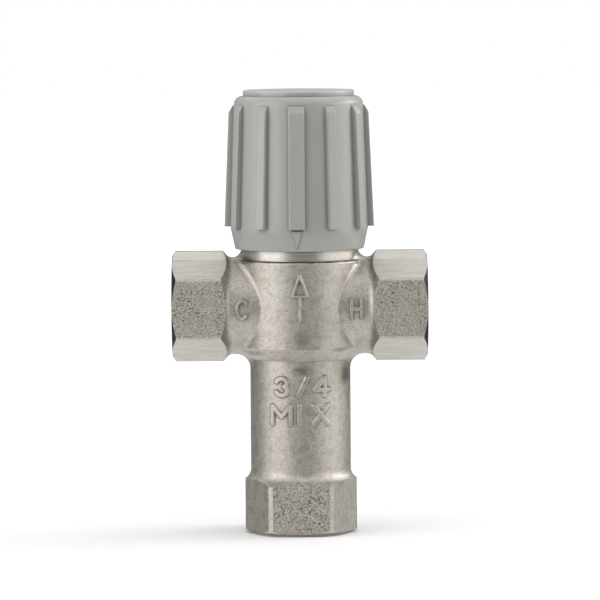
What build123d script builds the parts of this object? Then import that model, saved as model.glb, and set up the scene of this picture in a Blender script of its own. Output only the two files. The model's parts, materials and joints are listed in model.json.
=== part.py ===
from build123d import *
from math import atan, cos, radians, sin, tan
import os

# An adjustable mixing valve for hot and cold water, 3/4 inch, in millimetres.
# Origin at the middle of the outlet's bottom face, +Z up, the hot inlet on +X,
# the cold inlet on -X, the lettered front of the body facing -Y.

os.makedirs("parts", exist_ok=True)

# Clearances
running_gap = 0.05
seal_gap = 0.04
loose_gap = 0.1
skirt_gap = 0.5

# Pipe threads of the three ports
thread_r = 13.22
side_thread_depth = 14.8
outlet_thread_depth = 15.0
mouth_chamfer = 1.0
side_port_wall = 3.23
outlet_port_wall = 4.18

# Forged outside of the body
port_axis_z = 73.4
port_span = 82.3
side_hexagon_length = 17.6
side_hexagon_slope = 0.78
side_corner_turned_off = 0.25
side_corner_trim = 1.2
side_end_set_in = 0.25
side_root_blend_r = 2.5
outlet_hexagon_length = 17.75
outlet_hexagon_slope = 0.72
outlet_corner_turned_off = 0.45
outlet_corner_trim = 2.05
outlet_end_set_in = 1.2
outlet_root_blend_r = 4.0
end_chamfer_slope = 0.55
root_margin = 0.2
branch_set_in = 0.75
pipe_set_in = 1.2
pipe_blend_r = 4.5
barrel_below_axis = 12.9
barrel_above_axis = 15.1
barrel_wall = 3.5
barrel_blend_r = 2.0
barrel_edge_r = 0.8
barrel_edge_height = 1.2
shoulder_height = 4.1
neck_wall = 2.4
neck_height = 4.7
neck_blend_r = 3.0

# Waterways and seats inside the body
inlet_bore_r = 10.5
inlet_wall = 3.8
bore_cone_height = 2.0
outlet_bore_r = 9.0
shelf_below_axis = 36.2
hot_floor_below_axis = 11.0
hot_seat_height = 1.0
hot_seat_width = 1.6
ledge_below_axis = 2.0
ledge_width = 1.0
cold_seat_above_axis = 10.0
seat_opening = 0.9
slot_margin = 0.6
thread_step = 0.7
thread_start = 0.6
mix_bore_margin = 0.1

# Wax element, from its pin outwards
pin_r = 2.0
pin_length = 34.0
pin_chamfer = 0.4
sleeve_wall = 1.1
sleeve_foot_room = 1.5
guide_stem_r = 4.5
guide_flange_height = 1.4
guide_spigot_height = 2.8
guide_head_room = 1.0
cup_r = 7.0
cup_wall = 0.8
cup_rim_reach = 1.6
cup_lip_reach = 1.9
wax_below_sleeve = 7.3

# Shuttle, divider and their seals
hub_wall = 1.6
hub_height = 5.0
hub_above_shuttle_foot = 4.9
waterway = 2.2
spoke_count = 6
spoke_width = 2.4
spoke_root = 0.5
shuttle_wall = 1.7
rim_bevel = 0.7
shuttle_seal_depth = 0.9
shuttle_seal_height = 1.6
divider_height = 4.0
divider_width = 3.1
divider_seal_depth = 1.3
divider_seal_height = 1.8
divider_bevel = 0.5
clip_thickness = 1.0
clip_seat_depth = 0.6
clip_width = 1.6
clip_mouth_angle = 40.0

# Return spring under the shuttle
return_wire_r = 0.75
return_coil_margin = 0.6
return_turns = 7
seat_ring_height = 1.2

# Plunger, overload spring and setting nut
plunger_r = 7.75
plunger_height = 2.95
plunger_stud_height = 3.4
plunger_stud_gap = 0.5
pin_socket_depth = 4.95
overload_wire_r = 0.8
overload_coil_margin = 0.85
overload_turns = 5
nut_wall = 1.65
nut_above_cold_seat = 1.8
nut_lip = 1.0
nut_clip_seat_depth = 0.5
nut_thread_length = 9.0
nut_head_room = 1.53
ear_reach = 1.8
ear_width = 4.0
keyway_run_out = 0.8

# Spindle and what it carries
spindle_thread_r = 5.0
spindle_tip_chamfer = 0.6
spindle_dip = 0.5
spindle_bearing_r = 5.95
collar_side_gap = 0.55
collar_height = 2.2
washer_height = 0.6
spindle_seal_depth = 1.2
spindle_seal_height = 1.8
spindle_seal_spacing = 3.6
spindle_seal_above_roof = 2.3
spindle_shoulder_above_neck = 1.6
e_clip_thickness = 0.8
e_clip_seat_depth = 1.25
e_clip_reach = 1.45
e_clip_mouth_angle = 70.0
drive_r = 4.0
drive_half_flat = 3.0

# Bonnet
bonnet_flange_height = 1.6
bonnet_flange_set_in = 0.5
bonnet_hexagon_wall = 1.8
bonnet_hexagon_height = 6.0
bonnet_bore_height = 26.0
bonnet_roof = 3.0
bonnet_tube_wall = 1.8
bonnet_neck_height = 6.0
bonnet_neck_wall = 2.3
bonnet_seal_height = 2.0
bonnet_seal_wall = 1.3
bonnet_stop_height = 3.5
stop_inner_gap = 1.3
stop_outer_gap = 0.4
stop_arc = 24.0
stop_end_gap = 1.0

# Knob and its cap
skirt_overlap = 1.3
skirt_lip_wall = 1.4
skirt_lip_edge_r = 0.5
skirt_height = 6.6
skirt_flare = 1.4
core_taper = 1.4
knob_wall = 2.2
knob_shoulder_r = 2.6
rib_count = 12
rib_ring_turn = -2.0
rib_width = 3.2
index_rib_width = 5.1
rib_foot_reach = 2.0
rib_head_reach = 1.65
rib_foot_above_skirt = 0.6
rib_head_below_shoulder = 3.0
rib_head_slope = 2.2
rib_head_top_reach = 0.4
rib_head_r = 1.5
rib_edge_r = 0.4
rib_root = 1.0
mark_width = 3.3
mark_height = 5.8
mark_proud = 0.35
pocket_r = 15.5
pocket_depth = 2.2
web_thickness = 2.5
web_rib_count = 4
web_rib_width = 1.6
web_rib_height = 4.5
knob_hub_r = 7.5
knob_hub_gap = 0.3
knob_hub_engagement = 6.0
knob_hub_floor = 1.1
cap_lip = 0.2
cap_gap = 0.15
cap_seat_depth = 1.8
cap_height = 4.0
cap_dome = 0.35
cap_edge_r = 0.7
cap_top_wall = 1.8
cap_rim_wall = 1.8
cap_leg_count = 4
cap_leg_wall = 1.1
cap_leg_width = 6.0
cap_leg_foot_gap = 0.3

# Knob screw
screw_r = 1.95
screw_length = 10.0
screw_head_r = 3.6
screw_head_height = 2.3
screw_head_edge_r = 0.8
screw_socket_half_af = 1.25
screw_socket_depth = 1.4
screw_hole_run_out = 1.0

# Travel
knob_half_turn = 150.0
spindle_lead = 4.0
nut_travel = spindle_lead * knob_half_turn / 360

# Radii that follow, from the middle outwards
socket_r = pin_r + running_gap
sleeve_r = socket_r + sleeve_wall
cup_bore_r = cup_r - cup_wall
cup_rim_r = cup_r + cup_rim_reach
guide_flange_r = cup_rim_r - cup_wall
hub_bore_r = cup_r + loose_gap
hub_r = hub_bore_r + hub_wall
shuttle_bore_r = hub_r + waterway
shuttle_r = shuttle_bore_r + shuttle_wall
divider_bore_r = shuttle_r + running_gap
divider_r = divider_bore_r + divider_width
upper_chamber_r = divider_r + running_gap
lower_chamber_r = upper_chamber_r - ledge_width
mix_bore_r = shuttle_bore_r + mix_bore_margin
return_coil_r = hub_r + return_coil_margin
plunger_bore_r = plunger_r + loose_gap
overload_coil_r = plunger_bore_r - overload_wire_r - overload_coil_margin
plunger_stud_r = overload_coil_r - overload_wire_r - plunger_stud_gap
nut_r = plunger_bore_r + nut_wall
ear_r = nut_r + ear_reach
bonnet_bore_r = nut_r + running_gap
keyway_r = ear_r + loose_gap
bonnet_tube_r = keyway_r + bonnet_tube_wall
collar_r = bonnet_bore_r - collar_side_gap
spindle_bore_r = spindle_bearing_r + running_gap
bonnet_neck_r = spindle_bore_r + bonnet_neck_wall
spigot_r = upper_chamber_r - loose_gap
bonnet_thread_r = upper_chamber_r + thread_step
neck_r = bonnet_thread_r + neck_wall
barrel_r = bonnet_thread_r + barrel_wall
bonnet_seal_bore_r = neck_r - bonnet_seal_wall
bonnet_flange_r = neck_r - bonnet_flange_set_in
bonnet_hexagon_half_af = bonnet_tube_r + bonnet_hexagon_wall
stop_inner_r = bonnet_neck_r + stop_inner_gap
stop_outer_r = bonnet_tube_r - stop_outer_gap
skirt_bore_r = neck_r + skirt_gap
skirt_lip_r = skirt_bore_r + skirt_lip_wall
skirt_top_r = skirt_lip_r + skirt_flare
core_top_r = skirt_top_r - core_taper
cap_recess_r = core_top_r - knob_shoulder_r - cap_lip / 2
cap_r = cap_recess_r - cap_gap
side_flat_r = thread_r + side_port_wall
outlet_flat_r = thread_r + outlet_port_wall
branch_r = side_flat_r - branch_set_in
pipe_r = outlet_flat_r - pipe_set_in
port_face_x = port_span / 2
branch_end_x = port_face_x - side_hexagon_length / 2
inlet_bore_end_x = upper_chamber_r + inlet_wall

# Heights that follow, from the seats upwards
shelf_z = port_axis_z - shelf_below_axis
barrel_bottom_z = port_axis_z - barrel_below_axis
shoulder_foot_z = barrel_bottom_z - shoulder_height
barrel_top_z = port_axis_z + barrel_above_axis
barrel_edge_z = barrel_top_z - barrel_edge_height
body_top_z = barrel_top_z + neck_height
hot_floor_z = port_axis_z - hot_floor_below_axis
hot_seat_z = hot_floor_z + hot_seat_height
ledge_z = port_axis_z - ledge_below_axis
divider_middle_z = ledge_z + divider_height / 2
divider_top_z = ledge_z + divider_height
cold_seat_z = port_axis_z + cold_seat_above_axis
thread_start_z = cold_seat_z + thread_start
bonnet_seal_z = body_top_z - bonnet_seal_height
shuttle_bottom_z = hot_seat_z + seat_opening
shuttle_top_z = cold_seat_z - seat_opening
hub_bottom_z = shuttle_bottom_z + hub_above_shuttle_foot
hub_top_z = hub_bottom_z + hub_height
bonnet_flange_top_z = body_top_z + bonnet_flange_height
bonnet_bore_top_z = body_top_z + bonnet_bore_height
bonnet_roof_z = bonnet_bore_top_z + bonnet_roof
bonnet_neck_top_z = bonnet_roof_z + bonnet_neck_height
collar_top_z = bonnet_bore_top_z - washer_height
collar_bottom_z = collar_top_z - collar_height
nut_bottom_z = cold_seat_z + nut_above_cold_seat
nut_top_z = collar_bottom_z - nut_travel - nut_head_room
nut_roof_z = nut_top_z - nut_thread_length
nut_clip_z = nut_bottom_z + nut_lip
plunger_bottom_z = nut_clip_z + clip_thickness
plunger_top_z = plunger_bottom_z + plunger_height
pin_top_z = plunger_bottom_z + pin_socket_depth
pin_bottom_z = pin_top_z - pin_length
guide_floor_z = hub_top_z + cup_wall
guide_flange_top_z = guide_floor_z + guide_flange_height
guide_spigot_z = guide_floor_z - guide_spigot_height
cup_top_z = guide_flange_top_z + cup_wall
guide_top_z = plunger_bottom_z - nut_travel - seat_opening - guide_head_room
sleeve_floor_z = pin_bottom_z - nut_travel - seat_opening - sleeve_foot_room
sleeve_bottom_z = sleeve_floor_z - sleeve_wall
cup_bottom_z = sleeve_bottom_z - wax_below_sleeve - cup_wall
spindle_bottom_z = nut_roof_z - spindle_dip
e_clip_z = bonnet_neck_top_z + running_gap
spindle_shoulder_z = bonnet_neck_top_z + spindle_shoulder_above_neck
knob_hub_bottom_z = spindle_shoulder_z + knob_hub_gap
spindle_top_z = knob_hub_bottom_z + knob_hub_engagement
pocket_floor_z = spindle_top_z + knob_hub_floor
web_bottom_z = pocket_floor_z - web_thickness
cap_seat_z = pocket_floor_z + pocket_depth
cap_top_z = cap_seat_z + cap_height
knob_shoulder_z = cap_seat_z + cap_seat_depth
knob_bottom_z = body_top_z - skirt_overlap
skirt_top_z = knob_bottom_z + skirt_height
rib_foot_z = skirt_top_z + rib_foot_above_skirt
rib_head_z = knob_shoulder_z - rib_head_below_shoulder


def turned(points):
    """A solid turned about the upright axis from the corners of its half section."""
    with BuildPart() as turning:
        with BuildSketch(Plane.XZ):
            with BuildLine():
                Polyline(*points, close=True)
            make_face()
        revolve(axis=Axis.Z)
    return turning.part


def ring(inner_r, outer_r, bottom_z, top_z):
    """A plain turned ring."""
    return turned([(inner_r, bottom_z), (outer_r, bottom_z), (outer_r, top_z), (inner_r, top_z)])


def seal_ring(inner_r, outer_r, middle_z, height):
    """An O-ring as it sits squeezed in its groove: a ring with well rounded corners."""
    width = outer_r - inner_r
    with BuildPart() as seal:
        with BuildSketch(Plane.XZ):
            with Locations((inner_r + width / 2, middle_z)):
                RectangleRounded(width, height, 0.4 * min(width, height))
        revolve(axis=Axis.Z)
    return seal.part


def sector(inner_r, outer_r, middle_angle, arc, bottom_z, top_z):
    """A piece of a ring between two angles, such as a stop lug."""
    far = 2 * outer_r
    first = radians(middle_angle - arc / 2)
    last = radians(middle_angle + arc / 2)
    with BuildPart() as piece:
        with BuildSketch(Plane.XY.offset(bottom_z)):
            Circle(outer_r)
            Circle(inner_r, mode=Mode.SUBTRACT)
            with BuildLine():
                Polyline(
                    (0, 0),
                    (far * cos(first), far * sin(first)),
                    (far * cos(last), far * sin(last)),
                    close=True,
                )
            make_face(mode=Mode.INTERSECT)
        extrude(amount=top_z - bottom_z)
    return piece.part


def open_clip(inner_r, outer_r, bottom_z, top_z, mouth_angle):
    """A flat spring clip: a ring with a mouth at the back."""
    with BuildPart() as clip:
        add(ring(inner_r, outer_r, bottom_z, top_z))
        add(sector(inner_r / 2, 2 * outer_r, 90, mouth_angle, bottom_z, top_z), mode=Mode.SUBTRACT)
    return clip.part


def wound_spring(coil_r, wire_r, turns, bottom_z, top_z):
    """A compression spring of round wire, its two ends lying on its seats."""
    wound_height = top_z - bottom_z - 2 * wire_r
    with BuildPart() as spring:
        with BuildLine(Plane.XY.offset(bottom_z + wire_r)):
            wire_path = Helix(wound_height / turns, wound_height, coil_r)
        with BuildSketch(Plane(origin=wire_path @ 0, z_dir=wire_path % 0)):
            Circle(wire_r)
        sweep(is_frenet=True)
    return spring.part


def forged_tee(main_r, blend_r, envelope):
    """An upright round of the forging with the branch through it, blended where they meet.

    The branch runs out inside the two side hexagons, and its round starts at 45 degrees,
    clear of the blend's narrow ends. The blend is made on a tall round, and the tee is
    then cut to its envelope, which is turned about the same axis.
    """
    branch_end = Plane((-branch_end_x, 0, port_axis_z), x_dir=(0, 1, 1), z_dir=(1, 0, 0))
    with BuildPart() as tee:
        with BuildSketch(Plane.XY.offset(port_axis_z - port_span)):
            Circle(main_r)
        extrude(amount=2 * port_span)
        with BuildSketch(branch_end):
            Circle(branch_r)
        extrude(amount=2 * branch_end_x)
        fillet(tee.edges().filter_by(GeomType.BSPLINE), blend_r)
        add(envelope, mode=Mode.INTERSECT)
    return tee.part


def hexagon_end(flat_r, flats_length, cone_slope, turned_off, trim, end_r, root_r, blend_r):
    """One wrenching hexagon with its end face down on the ground plane.

    The flats face front and back. The corners' turned radius, the chamfer at the
    end face and the cone that runs out into the pipe are one turned profile, with
    a blend at the cone's root. The two corners on the forging's parting line are
    trimmed flat.
    """
    corner_r = flat_r / cos(radians(30))
    turned_r = corner_r - turned_off
    chamfer_height = end_chamfer_slope * (turned_r - end_r)
    corner_top = flats_length - cone_slope * (turned_r - flat_r)
    root_top = flats_length + cone_slope * (flat_r - root_r)
    hexagon_top = root_top + blend_r * tan(radians(45) - atan(cone_slope) / 2) + root_margin
    with BuildPart() as hexagon:
        with BuildSketch():
            RegularPolygon(flat_r, 6, major_radius=False)
            Rectangle(2 * (corner_r - trim), 4 * flat_r, mode=Mode.INTERSECT)
        extrude(amount=hexagon_top)
        with BuildSketch(Plane.XZ):
            with BuildLine():
                Polyline(
                    (0, 0),
                    (end_r, 0),
                    (turned_r, chamfer_height),
                    (turned_r, corner_top),
                    (root_r, root_top),
                    (root_r, hexagon_top),
                    (0, hexagon_top),
                    close=True,
                )
            make_face()
            fillet(vertices().sort_by_distance((root_r, root_top))[0], blend_r)
        revolve(axis=Axis.Z, mode=Mode.INTERSECT)
    return hexagon.part


def port_bore(thread_depth, bore_r, bore_end):
    """The hollow of one port from its end face inwards: mouth, thread and drilled bore."""
    return turned(
        [
            (0, 0),
            (thread_r + mouth_chamfer, 0),
            (thread_r, mouth_chamfer),
            (thread_r, thread_depth),
            (bore_r, thread_depth + bore_cone_height),
            (bore_r, bore_end),
            (0, bore_end),
        ]
    )


def inlet_slot(wall_x, bottom_z, top_z):
    """The passage from an inlet's bore into its chamber, inside the bore's round."""
    with BuildPart() as slot:
        with BuildSketch(Plane.YZ.offset(wall_x)):
            with Locations((0, port_axis_z)):
                Circle(inlet_bore_r)
            with Locations((0, (bottom_z + top_z) / 2)):
                Rectangle(2 * inlet_bore_r, top_z - bottom_z, mode=Mode.INTERSECT)
        extrude(amount=-wall_x)
    return slot.part


# The forging's upright parts: lower pipe, barrel with its sloped shoulder, neck, and the
# barrel's rounded top edge.
reach_r = 2 * barrel_r
shoulder_slope = shoulder_height / (barrel_r - pipe_r)
pipe_tee = forged_tee(
    pipe_r, pipe_blend_r, ring(0, reach_r, outlet_hexagon_length / 2, port_axis_z)
)
barrel_tee = forged_tee(
    barrel_r,
    barrel_blend_r,
    turned(
        [
            (0, shoulder_foot_z),
            (pipe_r, shoulder_foot_z),
            (reach_r, shoulder_foot_z + shoulder_slope * (reach_r - pipe_r)),
            (reach_r, barrel_edge_z),
            (0, barrel_edge_z),
        ]
    ),
)
neck_tee = forged_tee(neck_r, neck_blend_r, ring(0, reach_r, barrel_edge_z, body_top_z))
with BuildPart() as barrel_edge:
    with BuildSketch(Plane.XZ):
        with BuildLine():
            Polyline(
                (0, barrel_edge_z),
                (barrel_r, barrel_edge_z),
                (barrel_r, barrel_top_z),
                (0, barrel_top_z),
                close=True,
            )
        make_face()
        fillet(vertices().sort_by_distance((barrel_r, barrel_top_z))[0], barrel_edge_r)
    revolve(axis=Axis.Z)

# The three hexagon ends and bores, each made on its end face and then set in its place.
side_hexagon = hexagon_end(
    side_flat_r,
    side_hexagon_length,
    side_hexagon_slope,
    side_corner_turned_off,
    side_corner_trim,
    side_flat_r - side_end_set_in,
    branch_r,
    side_root_blend_r,
)
outlet_hexagon = hexagon_end(
    outlet_flat_r,
    outlet_hexagon_length,
    outlet_hexagon_slope,
    outlet_corner_turned_off,
    outlet_corner_trim,
    outlet_flat_r - outlet_end_set_in,
    pipe_r,
    outlet_root_blend_r,
)
side_bore = port_bore(side_thread_depth, inlet_bore_r, port_face_x - inlet_bore_end_x)
hot_port = Location((port_face_x, 0, port_axis_z), (0, -90, 0))
cold_port = Location((-port_face_x, 0, port_axis_z), (0, 90, 0))

# The bore from above, seat by seat, and the groove of the divider's clip.
clip_groove_r = upper_chamber_r + clip_seat_depth
main_bore = turned(
    [
        (0, outlet_thread_depth),
        (outlet_bore_r, outlet_thread_depth),
        (outlet_bore_r, shelf_z),
        (mix_bore_r, shelf_z),
        (mix_bore_r, hot_seat_z),
        (mix_bore_r + hot_seat_width, hot_seat_z),
        (mix_bore_r + hot_seat_width, hot_floor_z),
        (lower_chamber_r, hot_floor_z),
        (lower_chamber_r, ledge_z),
        (upper_chamber_r, ledge_z),
        (upper_chamber_r, divider_top_z),
        (clip_groove_r, divider_top_z),
        (clip_groove_r, divider_top_z + clip_thickness),
        (upper_chamber_r, divider_top_z + clip_thickness),
        (upper_chamber_r, thread_start_z),
        (bonnet_thread_r, thread_start_z),
        (bonnet_thread_r, bonnet_seal_z),
        (bonnet_seal_bore_r, bonnet_seal_z),
        (bonnet_seal_bore_r, body_top_z),
        (0, body_top_z),
    ]
)

# Valve body: one brass forging, turned at the neck and the mouths, bored from above.
with BuildPart() as valve_body:
    add([hot_port * side_hexagon, cold_port * side_hexagon, outlet_hexagon])
    add([pipe_tee, barrel_tee, neck_tee, barrel_edge.part])
    add(port_bore(outlet_thread_depth, outlet_bore_r, shelf_z), mode=Mode.SUBTRACT)
    add(hot_port * side_bore, mode=Mode.SUBTRACT)
    add(cold_port * side_bore, mode=Mode.SUBTRACT)
    add(main_bore, mode=Mode.SUBTRACT)
    add(
        inlet_slot(inlet_bore_end_x, hot_seat_z + slot_margin, ledge_z - slot_margin),
        mode=Mode.SUBTRACT,
    )
    add(
        inlet_slot(
            -inlet_bore_end_x,
            divider_top_z + clip_thickness + slot_margin,
            cold_seat_z - slot_margin,
        ),
        mode=Mode.SUBTRACT,
    )

# Bonnet: a turned brass headpiece. Its lower end face is the cold seat.
keyway_top_z = nut_top_z + nut_travel + keyway_run_out
bonnet_thread_bottom_z = thread_start_z + loose_gap
bonnet_thread_top_z = bonnet_seal_z - loose_gap
with BuildPart() as bonnet:
    add(
        turned(
            [
                (0, cold_seat_z),
                (spigot_r, cold_seat_z),
                (spigot_r, bonnet_thread_bottom_z),
                (bonnet_thread_r - running_gap, bonnet_thread_bottom_z),
                (bonnet_thread_r - running_gap, bonnet_thread_top_z),
                (spigot_r, bonnet_thread_top_z),
                (spigot_r, body_top_z),
                (bonnet_flange_r, body_top_z),
                (bonnet_flange_r, bonnet_flange_top_z),
                (bonnet_tube_r, bonnet_flange_top_z),
                (bonnet_tube_r, bonnet_roof_z),
                (bonnet_neck_r, bonnet_roof_z),
                (bonnet_neck_r, bonnet_neck_top_z),
                (0, bonnet_neck_top_z),
            ]
        )
    )
    with BuildSketch(Plane.XY.offset(bonnet_flange_top_z)):
        RegularPolygon(bonnet_hexagon_half_af, 6, major_radius=False)
    extrude(amount=bonnet_hexagon_height)
    add(sector(stop_inner_r, stop_outer_r, 90, stop_arc, bonnet_roof_z, bonnet_roof_z + bonnet_stop_height))
    with BuildSketch(Plane.XY.offset(cold_seat_z)):
        Circle(bonnet_bore_r)
    extrude(amount=bonnet_bore_top_z - cold_seat_z, mode=Mode.SUBTRACT)
    with BuildSketch(Plane.XY.offset(cold_seat_z)):
        Rectangle(2 * keyway_r, ear_width + 2 * loose_gap)
    extrude(amount=keyway_top_z - cold_seat_z, mode=Mode.SUBTRACT)
    with BuildSketch(Plane.XY.offset(bonnet_bore_top_z)):
        Circle(spindle_bore_r)
    extrude(amount=bonnet_neck_top_z - bonnet_bore_top_z, mode=Mode.SUBTRACT)

# Bonnet seal: rubber, squeezed under the bonnet's flange.
with BuildPart() as bonnet_oring:
    add(
        seal_ring(
            spigot_r, bonnet_seal_bore_r, bonnet_seal_z + bonnet_seal_height / 2, bonnet_seal_height
        )
    )

# Divider ring: parts the hot chamber from the cold one, and guides the shuttle.
with BuildPart() as divider_ring:
    add(
        turned(
            [
                (divider_bore_r, ledge_z),
                (divider_r, ledge_z),
                (divider_r, divider_top_z),
                (divider_bore_r + divider_bevel, divider_top_z),
                (divider_bore_r, divider_top_z - divider_bevel),
            ]
        )
    )
    add(
        ring(
            divider_r - divider_seal_depth,
            upper_chamber_r,
            divider_middle_z - divider_seal_height / 2 - loose_gap,
            divider_middle_z + divider_seal_height / 2 + loose_gap,
        ),
        mode=Mode.SUBTRACT,
    )

# Divider seal: rubber, in the divider's outer groove.
with BuildPart() as divider_oring:
    add(
        seal_ring(
            divider_r - divider_seal_depth, upper_chamber_r, divider_middle_z, divider_seal_height
        )
    )

# Divider clip: spring steel, snapped into the body above the divider.
with BuildPart() as divider_clip:
    add(
        open_clip(
            clip_groove_r - clip_width,
            clip_groove_r,
            divider_top_z,
            divider_top_z + clip_thickness,
            clip_mouth_angle,
        )
    )

# Spring seat ring: steel, on the shelf at the foot of the mixing bore.
with BuildPart() as spring_seat_ring:
    add(ring(outlet_bore_r, mix_bore_r - running_gap, shelf_z, shelf_z + seat_ring_height))

# Return spring: steel wire, pushes the shuttle and the element upwards.
with BuildPart() as return_spring:
    add(
        wound_spring(
            return_coil_r, return_wire_r, return_turns, shelf_z + seat_ring_height, hub_bottom_z
        )
    )

# Shuttle: a sleeve with a spoked hub. Its two rims close the hot and the cold seat.
with BuildPart() as shuttle:
    add(
        turned(
            [
                (shuttle_bore_r + rim_bevel, shuttle_bottom_z),
                (shuttle_r, shuttle_bottom_z),
                (shuttle_r, shuttle_top_z),
                (shuttle_bore_r + rim_bevel, shuttle_top_z),
                (shuttle_bore_r, shuttle_top_z - rim_bevel),
                (shuttle_bore_r, shuttle_bottom_z + rim_bevel),
            ]
        )
    )
    with BuildSketch(Plane.XY.offset(hub_bottom_z)):
        Circle(hub_r)
        with PolarLocations((hub_r + shuttle_bore_r) / 2, spoke_count):
            Rectangle(waterway + 2 * spoke_root, spoke_width)
        Circle(hub_bore_r, mode=Mode.SUBTRACT)
    extrude(amount=hub_height)
    add(
        ring(
            shuttle_r - shuttle_seal_depth,
            divider_bore_r,
            divider_middle_z - shuttle_seal_height / 2 - loose_gap,
            divider_middle_z + shuttle_seal_height / 2 + loose_gap,
        ),
        mode=Mode.SUBTRACT,
    )

# Shuttle seal: rubber, in the shuttle's groove, sliding in the divider.
with BuildPart() as shuttle_seal:
    add(
        seal_ring(
            shuttle_r - shuttle_seal_depth,
            divider_bore_r - seal_gap,
            divider_middle_z,
            shuttle_seal_height,
        )
    )

# Element cup: drawn copper, hangs in the mixed water, its rim crimped over the guide.
with BuildPart() as element_cup:
    add(
        turned(
            [
                (0, cup_bottom_z),
                (cup_r, cup_bottom_z),
                (cup_r, hub_top_z),
                (cup_rim_r, hub_top_z),
                (cup_rim_r, cup_top_z),
                (guide_flange_r - cup_lip_reach / 2, cup_top_z),
                (guide_flange_r - cup_lip_reach / 2, guide_flange_top_z),
                (guide_flange_r, guide_flange_top_z),
                (guide_flange_r, guide_floor_z),
                (cup_bore_r, guide_floor_z),
                (cup_bore_r, cup_bottom_z + cup_wall),
                (0, cup_bottom_z + cup_wall),
            ]
        )
    )

# Element guide: turned brass, closes the cup and guides the pin.
with BuildPart() as element_guide:
    add(
        turned(
            [
                (socket_r, guide_spigot_z),
                (cup_bore_r, guide_spigot_z),
                (cup_bore_r, guide_floor_z),
                (guide_flange_r, guide_floor_z),
                (guide_flange_r, guide_flange_top_z),
                (guide_stem_r, guide_flange_top_z),
                (guide_stem_r, guide_top_z),
                (socket_r, guide_top_z),
            ]
        )
    )

# Element sleeve: a rubber finger that keeps the wax off the pin.
with BuildPart() as element_sleeve:
    add(
        turned(
            [
                (0, sleeve_bottom_z),
                (sleeve_r, sleeve_bottom_z),
                (sleeve_r, guide_spigot_z),
                (socket_r, guide_spigot_z),
                (socket_r, sleeve_floor_z),
                (0, sleeve_floor_z),
            ]
        )
    )

# Wax charge: fills the cup around the sleeve.
with BuildPart() as wax_charge:
    add(
        turned(
            [
                (0, cup_bottom_z + cup_wall),
                (cup_bore_r, cup_bottom_z + cup_wall),
                (cup_bore_r, guide_spigot_z),
                (sleeve_r, guide_spigot_z),
                (sleeve_r, sleeve_bottom_z),
                (0, sleeve_bottom_z),
            ]
        )
    )

# Element pin: steel, pushed out of the element as the wax melts.
with BuildPart() as element_pin:
    with BuildSketch(Plane.XY.offset(pin_bottom_z)):
        Circle(pin_r)
    extrude(amount=pin_length)
    chamfer(element_pin.edges().filter_by(GeomType.CIRCLE), pin_chamfer)

# Overload plunger: a turned cup that the pin pushes against.
with BuildPart() as overload_plunger:
    add(
        turned(
            [
                (socket_r, plunger_bottom_z),
                (plunger_r, plunger_bottom_z),
                (plunger_r, plunger_top_z),
                (plunger_stud_r, plunger_top_z),
                (plunger_stud_r, plunger_top_z + plunger_stud_height),
                (0, plunger_top_z + plunger_stud_height),
                (0, pin_top_z),
                (socket_r, pin_top_z),
            ]
        )
    )

# Plunger clip: spring steel, holds the plunger in the nut.
nut_clip_r = plunger_bore_r + nut_clip_seat_depth
with BuildPart() as plunger_clip:
    add(
        open_clip(
            nut_clip_r - clip_width, nut_clip_r, nut_clip_z, plunger_bottom_z, clip_mouth_angle
        )
    )

# Overload spring: steel wire, between the plunger and the nut's roof.
with BuildPart() as overload_spring:
    add(wound_spring(overload_coil_r, overload_wire_r, overload_turns, plunger_top_z, nut_roof_z))

# Setting nut: a brass cup threaded on the spindle, its two ears in the bonnet's keyways.
with BuildPart() as setting_nut:
    add(ring(0, nut_r, nut_bottom_z, nut_top_z))
    with BuildSketch(Plane.XY.offset(nut_roof_z)):
        Circle(ear_r)
        Rectangle(2 * ear_r, ear_width, mode=Mode.INTERSECT)
    extrude(amount=nut_thread_length)
    add(ring(0, plunger_bore_r, nut_bottom_z, nut_roof_z), mode=Mode.SUBTRACT)
    add(ring(0, nut_clip_r, nut_clip_z, plunger_bottom_z), mode=Mode.SUBTRACT)
    add(ring(0, spindle_thread_r + running_gap, nut_roof_z, nut_top_z), mode=Mode.SUBTRACT)

# Spindle: turned brass, threaded below its collar, sealed and clipped above it.
lower_seal_z = bonnet_bore_top_z + spindle_seal_above_roof
upper_seal_z = lower_seal_z + spindle_seal_spacing
spindle_seal_inner_r = spindle_bearing_r - spindle_seal_depth
e_clip_seat_r = spindle_bearing_r - e_clip_seat_depth
screw_bottom_z = pocket_floor_z - screw_length
with BuildPart() as spindle:
    add(
        turned(
            [
                (0, spindle_bottom_z),
                (spindle_thread_r - spindle_tip_chamfer, spindle_bottom_z),
                (spindle_thread_r, spindle_bottom_z + spindle_tip_chamfer),
                (spindle_thread_r, collar_bottom_z),
                (collar_r, collar_bottom_z),
                (collar_r, collar_top_z),
                (spindle_bearing_r, collar_top_z),
                (spindle_bearing_r, spindle_shoulder_z),
                (0, spindle_shoulder_z),
            ]
        )
    )
    with BuildSketch(Plane.XY.offset(spindle_shoulder_z)):
        Circle(drive_r)
        Rectangle(2 * drive_r, 2 * drive_half_flat, mode=Mode.INTERSECT)
    extrude(amount=spindle_top_z - spindle_shoulder_z)
    for seal_z in (lower_seal_z, upper_seal_z):
        add(
            ring(
                spindle_seal_inner_r,
                spindle_bore_r,
                seal_z - spindle_seal_height / 2 - loose_gap,
                seal_z + spindle_seal_height / 2 + loose_gap,
            ),
            mode=Mode.SUBTRACT,
        )
    add(
        ring(e_clip_seat_r, spindle_bore_r, e_clip_z, e_clip_z + e_clip_thickness),
        mode=Mode.SUBTRACT,
    )
    with BuildSketch(Plane.XY.offset(spindle_top_z)):
        Circle(screw_r + running_gap)
    extrude(amount=screw_bottom_z - screw_hole_run_out - spindle_top_z, mode=Mode.SUBTRACT)

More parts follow.
